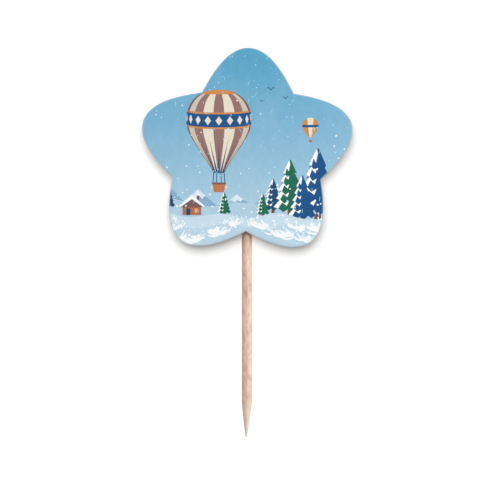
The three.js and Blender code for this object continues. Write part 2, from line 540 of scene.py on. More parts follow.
# %% [markdown]
# ## The star of card
# The card is die-cut, so its outline is exact and its edge is square, but the die presses the printed
# face down by two hundredths of a millimetre where it goes in. The outline is a half lobe, one cubic
# curve from the round end to the sharp corner, mirrored and turned five times.

# %% Outline of the star
lobes = 5
lobe_reach = 20.6
corner_reach = 14.7
lobe_end_handle = 4.1
lobe_side_handle = 3.8
lobe_side_lean = math.radians(27)
star_width_ratio = 1.02
star_turn = math.radians(0.8)
half_lobe_steps = 24


def cubic(a, b, c, d, t):
    """A point on a cubic curve."""
    s = 1 - t
    return a * s**3 + b * 3 * s * s * t + c * 3 * s * t * t + d * t**3


def star_outline():
    """Points round the star, anticlockwise, in mm from its middle."""
    half = math.pi / lobes
    end = Vector((0, lobe_reach))
    end_handle = Vector((lobe_end_handle, lobe_reach))
    corner = Vector((math.sin(half), math.cos(half))) * corner_reach
    side = Vector((-math.sin(lobe_side_lean), math.cos(lobe_side_lean)))
    side_handle = corner + side * lobe_side_handle
    steps = [i / half_lobe_steps for i in range(half_lobe_steps)]
    falling = [cubic(end, end_handle, side_handle, corner, t) for t in steps]
    rising = [cubic(corner, side_handle, end_handle, end, t) for t in steps]
    rising = [Vector((-p.x, p.y)) for p in rising]
    outline = []
    for lobe in range(lobes):
        angle = -star_turn - lobe * 2 * math.pi / lobes
        for p in rising + falling:
            x = p.x * math.cos(angle) - p.y * math.sin(angle)
            y = p.x * math.sin(angle) + p.y * math.cos(angle)
            outline.append(Vector((x * star_width_ratio, y)))
    outline.reverse()
    return outline


outline = star_outline()
width = max(p.x for p in outline) - min(p.x for p in outline)
print(f"star {width:.2f} mm wide here, {card_high.x - card_low.x:.2f} mm in the frame")

# %% [markdown]
# ## The printed scene
# The print is a winter scene of this lesson's own: a hot-air balloon over snowy hills with pines.
# It could be a picture on a flat face, but a picture blurs close up. Here each printed shape is a
# closed outline in millimetres, laid over the ones before it, and the card's face is then cut along
# all of them, so that every ink has its own faces with crisp edges.

# %% Lay down a shape
shapes = []


def draw(ink, points):
    """Lays a shape over what has been drawn. Points are (across, up) in mm from the star's middle."""
    shapes.append((ink, [Vector(p) for p in points]))


def scaled(points, across, up, wide, tall):
    """Points given in shares of a width and a height, put at a place on the card."""
    return [(across + x * wide, up + y * tall) for x, y in points]


def turned(points, across, up, lean):
    """Points turned by an angle and put at a place on the card."""
    c, s = math.cos(lean), math.sin(lean)
    return [(across + x * c - y * s, up + x * s + y * c) for x, y in points]


def smooth_line(points, steps=6):
    """A smooth line through given points."""
    line = []
    for i in range(len(points) - 1):
        before = Vector(points[max(i - 1, 0)])
        a, b = Vector(points[i]), Vector(points[i + 1])
        after = Vector(points[min(i + 2, len(points) - 1)])
        for step in range(steps):
            line.append(cubic(a, a + (b - before) / 6, b - (after - a) / 6, b, step / steps))
    line.append(Vector(points[-1]))
    return line


print("points in a smooth line through three:", len(smooth_line([(0, 0), (5, 2), (10, 0)])))

# %% Dots, blobs and drops
seed = 11
dice = random.Random(seed)
print("the dots, blobs and drops are dealt from seed", seed)


def dot(ink, across, up, radius, sides=10):
    """A round dot with its first corner where chance puts it."""
    turn = dice.random()
    ring = [2 * math.pi * (i + turn) / sides for i in range(sides)]
    draw(ink, scaled([(math.cos(a), math.sin(a)) for a in ring], across, up, radius, radius))


def blob(ink, across, up, long, wide, lean, points, ragged):
    """An uneven blob, long by wide, leaning by an angle."""
    waves = [(n, dice.uniform(0, 6.28), dice.uniform(0.3, 1) * ragged / n**0.5) for n in (2, 3, 5)]
    ring = []
    for i in range(points):
        a = 2 * math.pi * i / points
        r = 1 + sum(size * math.sin(n * a + start) for n, start, size in waves)
        ring.append((long / 2 * r * math.cos(a), wide / 2 * r * math.sin(a)))
    draw(ink, turned(ring, across, up, lean))


def drop(ink, across, up, radius, tail, lean):
    """A drop with its tail drawn out along an angle."""
    ring = [math.radians(70 + 220 * i / 8) for i in range(9)]
    loop = [(radius * math.cos(a), radius * math.sin(a)) for a in ring] + [(tail, 0)]
    draw(ink, turned(loop, across, up, lean))


# %% Mountains and the far hill
below = -24
far_foot = -11
snow_cap = [
    # across and down, in shares of the cap's half width and height, from its left foot round to its top
    (-1, 1), (-0.55, 0.78), (-0.25, 1.1), (0.1, 0.72), (0.4, 1.02), (0.62, 0.66), (0.95, 0.95), (0, 0),
]


def ground(ink, crest):
    """Fills everything below a smooth crest."""
    line = smooth_line(crest)
    draw(ink, [(line[0].x, below), (line[-1].x, below), *reversed(line)])


def peak(across, up, left, right, foot):
    """A mountain with a shaded flank and a ragged snow cap."""
    draw("far_blue", [(across - left, foot), (across + right, foot), (across, up)])
    draw("far_shade", [(across + 0.15 * right, foot), (across + right, foot), (across, up)])
    cap = 0.42 * (up - foot)
    slope_left, slope_right = left / (up - foot), right / (up - foot)
    draw("snow_far", [
        (across + x * cap * (slope_left if x < 0 else slope_right), up - y * cap) for x, y in snow_cap
    ])


for across, up, left, right, foot in (
    (-16.2, -4.6, 5.0, 5.5, far_foot + 0.5), (5.4, -5.6, 5.5, 5.0, far_foot),
    (-9.4, -6.6, 4.5, 5.0, far_foot), (15.2, -3.4, 7.0, 5.0, far_foot), (-2.0, -7.6, 4.0, 4.5, far_foot),
):
    peak(across, up, left, right, foot)
ground("hill_blue", [
    (-22, -9.4), (-15, -8.4), (-8, -9.9), (-1, -9.2), (6, -10.3), (13, -8.9), (22, -10),
])
print(len(shapes), "shapes in the mountains and the far hill")

# %% [markdown]
# ### Pines and a cabin
# A printed pine is a stack of ragged boughs, widest at the bottom, each with snow along its left side,
# where the weather comes from. The cabin is a few flat blocks under a thick roof of snow. Both are
# drawn in shares of their own size, so that one function gives a near pine and a far one.

# %% Pines
tiers = 5
teeth = 7


def pine(across, up, tall, ink):
    """A pine: a trunk, tiers of ragged boughs from the bottom up, and snow along each tier."""
    draw("bark", scaled([(-0.05, -0.03), (0.05, -0.03), (0.03, 0.3), (-0.03, 0.3)], across, up, tall, tall))
    for tier in range(tiers):
        share = tier / tiers
        foot = up + tall * (0.1 + 0.78 * share)
        half = tall * (0.3 - 0.22 * share)
        high = tall * (0.36 - 0.1 * share)
        lower = []
        for tooth in range(teeth + 1):
            x = -half + 2 * half * tooth / teeth
            notch = (0.05 if tooth % 2 else -0.02) * tall * (1 - 0.5 * share)
            lower.append((across + x, foot + notch - 0.05 * tall * (1 - abs(x) / half)))
        draw(ink, [*lower, (across + 0.12 * half, foot + high), (across - 0.12 * half, foot + high)])
        edge = [(-1, 0.05), (-0.72, 0.02), (-0.5, 0.13), (-0.2, 0.07), (0.02, 0.2)]
        draw("snow", [*scaled(edge, across, foot, half, tall), (across - 0.1 * half, foot + high)])


before = len(shapes)
for across, up, tall, ink in (
    (5.0, -11.0, 6.4, "teal"), (16.6, -11.0, 8.6, "teal"), (8.3, -11.6, 10.6, "green"),
    (13.6, -12.0, 13.2, "navy"), (10.6, -12.8, 8.8, "navy"), (3.0, -11.8, 4.4, "green"),
    (-15.4, -10.4, 5.2, "teal"), (-4.4, -11.6, 4.4, "green"),
):
    pine(across, up, tall, ink)
print(len(shapes) - before, "shapes in eight pines")

# %% Cabin
log_joint = 0.07


def cabin(across, up, wide):
    """A small log cabin under a roof of snow, with a lit window, in shares of its width and wall height."""
    tall = 0.5 * wide

    def cut(ink, *corners):
        draw(ink, scaled(corners, across, up, wide, tall))

    def block(ink, left, foot, right, top):
        cut(ink, (left, foot), (right, foot), (right, top), (left, top))

    block("rust", -0.5, 0, 0.5, 1)
    for log in range(1, 5):
        block("mauve_dark", -0.5, log / 5, 0.5, log / 5 + log_joint / tall)
    block("mauve_dark", 0.26, 0.9, 0.4, 2.15)
    cut("snow", (0.24, 2.1), (0.42, 2.1), (0.4, 2.35), (0.26, 2.35))
    cut("mauve_dark", (-0.62, 0.86), (0.62, 0.86), (0, 2.0))
    cut("snow", (-0.7, 0.95), (-0.58, 0.9), (0, 1.72), (0.58, 0.9), (0.7, 0.95), (0, 2.2))
    block("teal", -0.3, 0, -0.08, 0.72)
    block("orange", 0.1, 0.25, 0.34, 0.7)
    block("cream", 0.2, 0.25, 0.24, 0.7)


cabin(across=-10.6, up=-11.6, wide=3.6)
ground("hill_pale", [
    (-22, -11.2), (-16, -11.0), (-11, -12.0), (-5, -11.3), (0, -12.2), (6, -11.2), (12, -12.4), (22, -11.5),
])
print(len(shapes), "shapes with the cabin and the near hill")

# %% [markdown]
# ### The balloon
# A balloon's envelope is sewn from gores, strips that run from the crown to the mouth. Drawn flat they
# would be triangles, so each is laid on a turned shape first and looked at from a little above, which
# bends the bands and narrows the gores at the sides as the eye expects.

# %% Hot-air balloon
half_inks = ["mauve_dark", "cream_dark", "mauve", "cream"]
gore_inks = [*half_inks, "mauve", *reversed(half_inks)]
gores = len(gore_inks)


def balloon(across, up, radius, rows):
    """The envelope, with up the height of its widest part. Gives back the height of its mouth."""
    tangent = math.radians(124)
    mouth = 0.17 * radius
    side = Vector((math.sin(tangent), math.cos(tangent))) * radius
    skirt = (side.x - mouth) * math.sin(tangent) / -math.cos(tangent)
    bends = [tangent * i / rows for i in range(rows + 1)]
    profile = [(radius * math.sin(a), radius * math.cos(a)) for a in bends]
    profile += [(side.x + (mouth - side.x) * t, side.y - skirt * t) for t in (0.25, 0.5, 0.75, 1.0)]

    def at(longitude, level):
        """A point on the envelope; level runs from 0 at the crown to 1 at the mouth."""
        place = level * (len(profile) - 1)
        i = min(int(place), len(profile) - 2)
        share = place - i
        w = profile[i][0] * (1 - share) + profile[i + 1][0] * share
        h = profile[i][1] * (1 - share) + profile[i + 1][1] * share
        sag = 0.16 * w * math.cos(longitude)
        return (across + w * math.sin(longitude), up + h - sag * (0.35 + 0.5 * level) + 0.1 * w)

    def cloth(ink, west, east, top, bottom, steps=10):
        """A piece of the envelope between two longitudes and two levels."""
        levels = [top + (bottom - top) * i / steps for i in range(steps + 1)]
        rim = [at(west, level) for level in levels]
        rim += [at(west + (east - west) * t, bottom) for t in (0.33, 0.67)]
        rim += [at(east, level) for level in reversed(levels)]
        rim += [at(east + (west - east) * t, top) for t in (0.33, 0.67)] if top > 0.02 else []
        draw(ink, rim)

    edges = [math.radians(-90 + 180 * i / gores) for i in range(gores + 1)]
    for i, ink in enumerate(gore_inks):
        cloth(ink, edges[i], edges[i + 1], 0, 1, 24)
    for i in range(gores):
        trim = "rust" if i in (0, gores - 1) else "orange"
        for ink, top, bottom in (
            (trim, 0, 0.2), ("navy", 0.47, 0.62), (trim, 0.455, 0.475), (trim, 0.615, 0.635),
        ):
            cloth(ink, edges[i], edges[i + 1], top, bottom)
        middle = (edges[i] + edges[i + 1]) / 2
        west, east = (middle + side * (edges[i + 1] - edges[i]) * 0.3 for side in (-1, 1))
        draw("cream", [at(west, 0.545), at(middle, 0.595), at(east, 0.545), at(middle, 0.497)])
        draw("teal", [at(edges[i], 1.0), at(edges[i + 1], 1.0), at(middle, 0.74)])
    return up + profile[-1][1]


balloon_across = -5.4
mouth_up = balloon(balloon_across, up=6.2, radius=6.3, rows=14)
print(f"balloon's mouth {mouth_up:.1f} mm from the star's middle")

# %% Basket of the balloon
def bar(ink, start, end, thick):
    """A straight stroke from start to end."""
    start, end = Vector(start), Vector(end)
    along = (end - start).normalized()
    across = Vector((-along.y, along.x)) / 2
    draw(ink, [start - across * thick, end - across * thick, end + across * thick, start + across * thick])


def basket(across, up, wide, tall, rope_top, rope_spread):
    """Ropes, a woven body, a padded rim and a sandbag at each side. up is the height of the rim."""
    for side in (-1, -0.4, 0.4, 1):
        bar("navy", (across + side * wide * 0.46, up), (across + side * rope_spread, rope_top), 0.16)
    draw("rust", scaled([(-0.5, 0), (-0.38, -1), (0.38, -1), (0.5, 0)], across, up, wide, tall))
    for row in range(3):
        for column in range(4):
            x = across + wide * (-0.36 + 0.24 * column) + (0.1 * wide if row % 2 else 0) * 0.6
            level = up - tall * (0.3 + 0.26 * row)
            bar("orange", (x - 0.08 * wide, level), (x + 0.06 * wide, level), 0.16)
    bar("mauve_dark", (across - 0.54 * wide, up), (across + 0.54 * wide, up), 0.34)
    for side in (-1, 1):
        dot("cream", across + side * 0.56 * wide, up - 0.45 * tall, 0.24)


basket(balloon_across, mouth_up - 2.0, wide=2.5, tall=1.7, rope_top=mouth_up + 0.6, rope_spread=0.95)
print(len(shapes), "shapes with the balloon and its basket")

# %% Birds and a far balloon
bird_shape = [
    # two bent wings in shares of the span: their upper side, then back along their lower side
    (-0.5, 0.1), (-0.25, 0.24), (0, 0), (0.25, 0.26), (0.5, 0.06), (0.25, 0.15), (0, -0.12), (-0.25, 0.13),
]
for across, up, span in ((4.6, 12.6, 1.9), (7.4, 10.9, 1.5), (2.9, 10.3, 1.2)):
    draw("navy", scaled(bird_shape, across, up, span, span))


def far_balloon(across, up, radius):
    """A balloon in the distance, without its ropes: the envelope, a light band, a belt and the basket."""
    ring = [(math.sin(a), math.cos(a)) for a in (math.radians(-125 + 12.5 * i) for i in range(21))]
    band = [(x, y) for x, y in ring if abs(x) < 0.52 and y > 0]

    def cut(ink, points):
        draw(ink, scaled(points, across, up, radius, radius))

    cut("orange", [*ring, (0.2, -1.45), (-0.2, -1.45)])
    cut("cream", [*band, (0.12, -1.4), (-0.12, -1.4)])
    bar("navy", (across - radius, up - 0.05 * radius), (across + radius, up - 0.05 * radius), 0.3 * radius)
    cut("rust", [(-0.24, -1.75), (-0.18, -2.1), (0.18, -2.1), (0.24, -1.75)])


far_balloon(across=12.2, up=5.6, radius=1.55)
print(len(shapes), "shapes with the birds and the far balloon")

# %% [markdown]
# ### Snow in the wind
# The wind lifts snow off the drifts at the foot of the card. It could be a cloud of dots alone, but
# snow is painted with a loaded brush: a stroke is a smooth line with a width that swells and thins,
# and a gust is a long bank of strokes, fingers that curl up from it, and drops that fly off. Falling
# snow is uneven dots, whiter and larger towards the ground, and thin streaks.

# %% Strokes
early_swell = 0.65


def stroke(ink, points, widest, rough=0.35):
    """A stroke along a smooth line: thin at its ends, widest a third of the way along, uneven sides."""
    line = smooth_line(points, 7)
    last = len(line) - 1
    start = dice.uniform(0, 50)
    left, right = [], []
    for i, p in enumerate(line):
        share = i / last
        along = (line[min(i + 1, last)] - line[max(i - 1, 0)]).normalized()
        across = Vector((-along.y, along.x))
        half = 0.015 + widest / 2 * math.sin(math.pi * min(share, 0.99) ** early_swell)
        left.append(p + across * half * (1 + rough * wander(5 * share, start, 0)))
        right.append(p - across * half * (1 + rough * wander(5 * share, start, 9)))
    draw(ink, [*left, *reversed(right)])


print(f"a stroke is widest {0.5 ** (1 / early_swell):.2f} of the way along")

# %% Gusts
bank = [(-2.7, 0.25), (-1.5, -0.12), (0.0, -0.2), (1.4, 0.1), (2.5, 0.75)]
fingers = 7
clots = 4


def gust(across, up, size, lean):
    """Snow that the wind lifts off a drift: a long bank, fingers that curl up from it, flying drops."""
    side = 1 if math.cos(lean) > 0 else -1

    def on_bank(x, y):
        """A place along the bank, mirrored where the wind blows to the left."""
        return Vector((across + side * x * size, up + y * size))

    stroke("snow_soft", [on_bank(x - 0.2, y + 0.35) for x, y in bank], 1.25 * size, 0.6)
    stroke("snow", [on_bank(x, y) for x, y in bank], 0.95 * size, 0.8)
    stroke("snow", [on_bank(0.7 * x - 0.9, y - 0.7) for x, y in bank], 0.34 * size, 0.5)
    for i in range(fingers):
        x, y = bank[dice.randrange(4)]
        root = on_bank(x + dice.uniform(0, 1.2), y + dice.uniform(0, 0.2))
        angle = lean + dice.uniform(-0.35, 0.45)
        way = Vector((math.cos(angle), math.sin(angle)))
        long = dice.uniform(0.7, 2.2) * size
        bend = Vector((way.y, -way.x)) * dice.uniform(-0.12, 0.22) * long * side
        tip = root + way * long
        thick = dice.uniform(0.2, 0.42) * size
        stroke("snow", [root - way * 0.3 * size, root + way * 0.45 * long + bend, tip], thick)
        far = tip + way * dice.uniform(0.3, 0.9)
        dot("snow", far.x, far.y, dice.uniform(0.09, 0.2), 9)
    for i in range(clots):
        place = on_bank(dice.uniform(-2, 2), dice.uniform(0.2, 0.9))
        dot("snow", place.x, place.y, dice.uniform(0.2, 0.42) * size, 14)
    for i in range(int(15 * size)):
        far = size * (1.0 + 2.6 * dice.random())
        angle = lean + dice.gauss(0, 0.45)
        radius = dice.uniform(0.06, 0.17)
        x, y = across + far * math.cos(angle), up + far * math.sin(angle)
        ink = "snow" if dice.random() < 0.8 else "snow_soft"
        if dice.random() < 0.35:
            drop(ink, x, y, radius, dice.uniform(4, 7) * radius, angle + math.pi)
        else:
            dot(ink, x, y, radius, 9)


ground("snow_shade", [
    (-22, -13.6), (-15, -13.1), (-10, -14.2), (-4, -13.2), (2, -14.1), (8, -13.4), (14, -14.4), (22, -13.4),
])
for across, up, size, lean in (
    (-14.6, -14.2, 0.8, 0.8), (-10.6, -16.4, 1.0, 0.5), (-5.4, -15.0, 0.8, 0.7), (-2.2, -13.2, 0.5, 1.2),
    (2.2, -13.6, 0.7, 2.3), (6.6, -15.4, 0.9, 2.4), (9.6, -14.0, 0.6, 2.1), (12.6, -16.6, 1.0, 2.5),
    (14.4, -14.2, 1.1, 1.2),
):
    gust(across, up, size, lean)
print(len(shapes), "shapes with the drifts")

# %% Falling snow
flakes = 170
streaks = 110
snow_top = 20
snow_fall = 34
snow_reach = 19.5
pale_inks = ["sky_fleck", "sky_soft"]

for i in range(flakes):
    up = snow_top - snow_fall * dice.random() ** 0.8
    across = dice.uniform(-snow_reach, snow_reach)
    low = (snow_top - up) / snow_fall
    size = dice.uniform(0.14, 0.26) + 0.2 * low * dice.random()
    ink = "snow" if dice.random() < 0.02 + 0.7 * low**1.5 else dice.choice(pale_inks)
    blob(ink, across, up, size * 1.3, size, dice.uniform(0, 3), 9, 0.3)
for i in range(streaks):
    long = dice.uniform(0.35, 1.1)
    ink = dice.choice(pale_inks)
    across, up = dice.uniform(-snow_reach, snow_reach), dice.uniform(far_foot, snow_top)
    blob(ink, across, up, long, 0.11, dice.gauss(1.5, 0.5), 8, 0.2)
print(len(shapes), "printed shapes,", sum(len(points) for ink, points in shapes), "points")

# %% [markdown]
# ### Inks
# Offset ink on coated card is even but not flat: the coating has a faint mottle, the screen leaves a
# fine tooth, and the sheen is satin. Along the rolled rim the ink is greyed a little, a painted shade
# that darkens the card's edge. All inks share one recipe, and the sky also fades from top to bottom.

# %% Colours of the inks
flat_inks = {
    "far_blue": (158, 190, 214), "far_shade": (136, 174, 204), "snow_far": (222, 234, 243),
    "hill_blue": (178, 207, 225), "hill_pale": (203, 224, 236), "snow_shade": (189, 215, 229),
    "snow": (250, 252, 253), "snow_soft": (217, 231, 241),
    "sky_fleck": (176, 218, 236), "sky_soft": (150, 202, 226),
    "navy": (20, 80, 134), "teal": (22, 72, 108), "green": (26, 106, 78),
    "bark": (112, 74, 62), "rust": (190, 112, 78),
    "mauve": (150, 112, 105), "mauve_dark": (122, 88, 86),
    "cream": (232, 221, 202), "cream_dark": (208, 194, 174), "orange": (207, 138, 74),
}
sky_stops = [
    (0.0, (198, 219, 229)), (0.16, (179, 208, 224)), (0.4, (150, 192, 216)),
    (0.64, (122, 177, 206)), (0.87, (93, 164, 197)), (1.0, (82, 159, 192)),
]
unused = set(flat_inks) - {ink for ink, points in shapes}
print(len(flat_inks), "flat inks, unused:", sorted(unused))

# %% Ink finishes
# Painted shade: the ink is greyed towards the outline, darkening the card's edge.
rim_painted_shade = colour(172, 182, 188)
mottle_dark = (0.02, 0.03, 0.05, 1)


def ink_finish(name, shade):
    """One ink: shade is a colour, or a function that adds nodes and returns one."""
    ink = Finish("ink_" + name)
    mottle = ink.noise(900, 3, 0.6)
    tooth = ink.noise(7000, 2, 0.5)
    base = shade(ink) if callable(shade) else shade
    base = ink.tint(base, mottle, 0.3, 0.7, 0.055, mottle_dark)
    base = ink.tint(base, tooth, 0.35, 0.7, 0.02, (1, 1, 1, 1))
    # Painted shade along the rolled rim.
    base = ink.tint(base, ink.attribute("rolled"), 0, 1, 0.6, rim_painted_shade)
    ink.set(base_color=base, roughness=ink.spread(mottle, 0.3, 0.7, 0.42, 0.52), specular_ior_level=0.15)
    ink.relief(ink.sum(tooth, mottle, 0.8), 0.004, 0.6)
    return ink


def sky_shade(ink):
    """The sky fades from deep blue at the top of the card to pale blue at its foot."""
    level = ink.tree.nodes.new("ShaderNodeMapRange")
    level.inputs["From Min"].default_value = card_low.z * MM
    level.inputs["From Max"].default_value = card_high.z * MM
    ink.link(ink.axis("Z"), level.inputs["Value"])
    sky = ink.ramp(level.outputs["Result"], [(at, colour(*shade)) for at, shade in sky_stops])
    brush = ink.noise(1.0, 4, 0.6, ink.stretched((260, 260, 90)))
    return ink.tint(sky, brush, 0.45, 0.75, 0.07, colour(214, 236, 246))


inks = {"sky": ink_finish("sky", sky_shade)}
for name, shade in flat_inks.items():
    inks[name] = ink_finish(name, colour(*shade))
print(len(inks), "inks")

# %% Finish of the cut edge and of the back
def cut_edge_finish():
    """The die leaves the card's layers bare: greyish fibres that run round the edge."""
    edge = Finish("cut_edge")
    layers = edge.noise(1.0, 3, 0.6, edge.stretched((900, 14000, 900)))
    fluff = edge.noise(6000, 3, 0.6)
    base = edge.two_tone(layers, colour(148, 146, 138), colour(194, 191, 184))
    edge.set(base_color=base, roughness=0.9, specular_ior_level=0.2)
    edge.relief(edge.sum(layers, fluff, 0.7), 0.02, 0.9)
    return edge


def card_back_finish():
    """Uncoated white board: soft mottle, fine fibres and a few grey specks."""
    board = Finish("card_back")
    mottle = board.noise(350, 4, 0.6)
    fibres = board.noise(1.0, 4, 0.7, board.stretched((5200, 3000, 1300)))
    specks = board.spread(board.noise(2600, 2, 0.5), 0.7, 0.76)
    base = board.two_tone(mottle, colour(229, 227, 220), colour(238, 236, 230))
    base = board.tint(base, fibres, 0.5, 0.8, 0.3, colour(205, 203, 196))
    base = board.tint(base, specks, 0, 1, 0.35, colour(150, 148, 142))
    board.set(base_color=base, roughness=board.spread(fibres, 0.3, 0.7, 0.75, 0.9), specular_ior_level=0.2)
    board.relief(fibres, 0.006, 0.7)
    return board


card_finishes = [*inks.values(), cut_edge_finish(), card_back_finish()]
print(len(card_finishes), "finishes on the card")

# %% [markdown]
# ### Cutting the card
# A constrained triangulation takes all the outlines at once, so that no triangle crosses one. Each
# triangle then takes the ink of the last shape that its middle lies in. The face is closed into a real
# card: the rim is rolled back a little, the cut edge goes straight back, and a plain back closes it.

# %% Cut the printed face
roll_width = 0.3


def inset(outline, depth):
    """The outline moved inwards by depth; it runs anticlockwise."""
    moved = []
    for i, p in enumerate(outline):
        before, after = outline[i - 1], outline[(i + 1) % len(outline)]
        first = (p - before).normalized()
        second = (after - p).normalized()
        inward = Vector((-first.y - second.y, first.x + second.x)).normalized()
        lean = max(0.5, inward.dot(Vector((-first.y, first.x))))
        moved.append(p + inward * depth / lean)
    return moved


def inside(loop, spots):
    """Which spots lie inside a loop: a ray to the right from them crosses it an odd number of times."""
    odd = np.zeros(len(spots), dtype=bool)
    for i, a in enumerate(loop):
        b = loop[i - 1]
        if a.y != b.y:
            crosses = (spots[:, 1] < a.y) != (spots[:, 1] < b.y)
            odd ^= crosses & (spots[:, 0] < a.x + (b.x - a.x) * (spots[:, 1] - a.y) / (b.y - a.y))
    return odd


def cut_printed_face():
    """Points of the printed face, and its triangles with the ink of each."""
    loops = [outline, inset(outline, roll_width)] + [points for ink, points in shapes]
    points, edges = [], []
    for loop in loops:
        first = len(points)
        points.extend(loop)
        edges.extend((first + i, first + (i + 1) % len(loop)) for i in range(len(loop)))
    made, _, triangles, _, _, _ = delaunay_2d_cdt(points, edges, [], 0, 1e-4)
    corners = np.array([(p.x, p.y) for p in made])
    middles = corners[np.array(triangles)].mean(axis=1)
    ink_of = np.full(len(triangles), -1)
    ink_of[inside(outline, middles)] = 0
    for number, (ink, loop) in enumerate(shapes):
        ink_of[inside(loop, middles) & (ink_of >= 0)] = number + 1
    kept = [(t, shapes[k - 1][0] if k else "sky") for t, k in zip(triangles, ink_of.tolist()) if k >= 0]
    return made, kept


face_points, face_triangles = cut_printed_face()
print(len(face_points), "points and", len(face_triangles), "triangles in the printed face")

# %% Measure the rim
roll_depth = 0.02
reach = max(p.length for p in outline)


def rim_share(p):
    """1 on the outline, falling to 0 at roll_width from it. No edge lies within half the star's reach."""
    if p.length <= 0.5 * reach:
        return 0.0
    nearest = 1e9
    for i, a in enumerate(outline):
        ab = outline[(i + 1) % len(outline)] - a
        t = max(0.0, min(1.0, (p - a).dot(ab) / ab.length_squared))
        nearest = min(nearest, (p - a - ab * t).length_squared)
    return max(0.0, 1 - math.sqrt(nearest) / roll_width)


print("share of the rim 0.1 mm inside the top:", round(rim_share(Vector((0, lobe_reach - 0.1))), 2))

# %% Close the card
edge_bevel = 0.02
back_shrink = 0.999


def card_body():
    """Front, rolled rim, cut edge and back, as a bmesh in mm, with the rim's share on each point."""
    bm = bmesh.new()
    rolled = bm.verts.layers.float.new("rolled")
    used = {i for triangle, ink in face_triangles for i in triangle}
    corners = [None] * len(face_points)
    for i, p in enumerate(face_points):
        if i in used:
            share = rim_share(p)
            corners[i] = bm.verts.new((p.x, card_front + roll_depth * share**2, star_middle + p.y))
            corners[i][rolled] = share
    names = list(inks)
    for triangle, ink in face_triangles:
        face = bm.faces.new([corners[i] for i in triangle])
        face.material_index = names.index(ink)
    rim = [edge for edge in bm.edges if len(edge.link_faces) == 1]
    for depth, shrink in ((card_back - edge_bevel, 1.0), (card_back, back_shrink)):
        pushed = {}
        for vert in dict.fromkeys(vert for edge in rim for vert in edge.verts):
            level = star_middle + (vert.co.z - star_middle) * shrink
            pushed[vert] = bm.verts.new((vert.co.x * shrink, depth, level))
        grown = []
        for a, b in (edge.verts for edge in rim):
            face = bm.faces.new((a, b, pushed[b], pushed[a]))
            face.material_index = len(names)
            grown.append(bm.edges.get((pushed[a], pushed[b])))
        rim = grown
    back = bmesh.ops.triangle_fill(bm, edges=rim, use_beauty=True)["geom"]
    for face in (part for part in back if isinstance(part, bmesh.types.BMFace)):
        face.material_index = len(names) + 1
    bmesh.ops.recalc_face_normals(bm, faces=bm.faces)
    return bm


bm = card_body()
bmesh.ops.scale(bm, vec=(MM, MM, MM), verts=bm.verts)
card_mesh = bpy.data.meshes.new("star_card")
bm.to_mesh(card_mesh)
print(sum(len(edge.link_faces) != 2 for edge in bm.edges), "open edges in the card")
bm.free()
star_card = piece(card_mesh, card_finishes, sharp=8)
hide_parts("printed_card")

# %% [markdown]
# ## The paper patch
# A self-adhesive paper patch holds the stick. It lies flat on the card, leaves it in a soft fold,
# climbs straight to the stick, and goes over it. It could be draped by a cloth simulation, but the path
# is known. So the flat patch is cut first, with round corners, and then every point is carried along
# that path, with a few wrinkles, and with the two upper corners beginning to let go.

# %% Sizes of the patch
patch_thickness = 0.12
patch_corner = 2.0
tent_angle = math.radians(35)
fold_radius = 0.8
bond_gap = 0.02
over_stick = stick_radius + bond_gap
patch_foot = patch_low.z
patch_tall = patch_high.z - patch_low.z
fold_middle_y = card_back + fold_radius
fold_middle_x = (fold_radius + over_stick - fold_middle_y * math.cos(tent_angle)) / math.sin(tent_angle)
arc_length = over_stick * tent_angle
slope_start = Vector((over_stick * math.sin(tent_angle), over_stick * math.cos(tent_angle)))
slope_end = Vector((
    fold_middle_x - fold_radius * math.sin(tent_angle),
    fold_middle_y - fold_radius * math.cos(tent_angle),
))
slope_length = (slope_end - slope_start).length
fold_length = fold_radius * tent_angle
flat_start = arc_length + slope_length + fold_length
patch_flat_half = flat_start + (patch_high.x - fold_middle_x)
print(f"patch cut {2 * patch_flat_half:.2f} x {patch_tall:.2f} mm before it is folded over the stick")

# %% Fold the patch
def on_patch(across):
    """Place and outward direction, in the (x, y) plane, of a point across mm from the patch's middle."""
    side = math.copysign(1, across)
    run = abs(across)
    if run <= arc_length:
        a = run / over_stick
        spot, out = Vector((math.sin(a), math.cos(a))) * over_stick, Vector((math.sin(a), math.cos(a)))
    elif run <= arc_length + slope_length:
        t = (run - arc_length) / slope_length
        spot, out = slope_start.lerp(slope_end, t), Vector((math.sin(tent_angle), math.cos(tent_angle)))
    elif run <= flat_start:
        a = tent_angle - (run - arc_length - slope_length) / fold_radius
        out = Vector((math.sin(a), math.cos(a)))
        spot = Vector((fold_middle_x, fold_middle_y)) - out * fold_radius
    else:
        spot, out = Vector((fold_middle_x + run - flat_start, card_back)), Vector((0, 1))
    return Vector((side * spot.x, spot.y)), Vector((side * out.x, out.y))


print(f"the folded patch reaches {on_patch(patch_flat_half)[0].x:.2f} mm to each side of the stick's axis")

# %% Wrinkle the patch
creases = [
    # from its highest point to where it runs out, in mm from the middle of the foot, and its height
    ((1.3, 0.0), (3.6, 2.7), 0.07), ((-1.4, 0.0), (-3.2, 1.9), 0.05),
    ((1.4, 14.0), (3.3, 12.1), 0.05), ((-1.3, 14.0), (-4.2, 11.0), 0.07),
    ((-7.8, 2.2), (-5.4, 5.2), 0.03), ((6.9, 9.0), (5.4, 6.2), 0.03),
]
crease_width = 0.28
gum_film = 0.012
slack_depth = 0.05
bubble_depth = 0.035
lift_reach = 3.6
left_lift = 0.5
right_lift = 0.18


def crease(spot, start, end, height):
    """A little fold in the paper, highest at its start."""
    start, end = Vector(start), Vector(end)
    along = end - start
    share = max(0.0, min(1.0, (spot - start).dot(along) / along.length_squared))
    off = (spot - start - along * share).length
    return height * (1 - share) * math.exp(-((off / crease_width) ** 2))


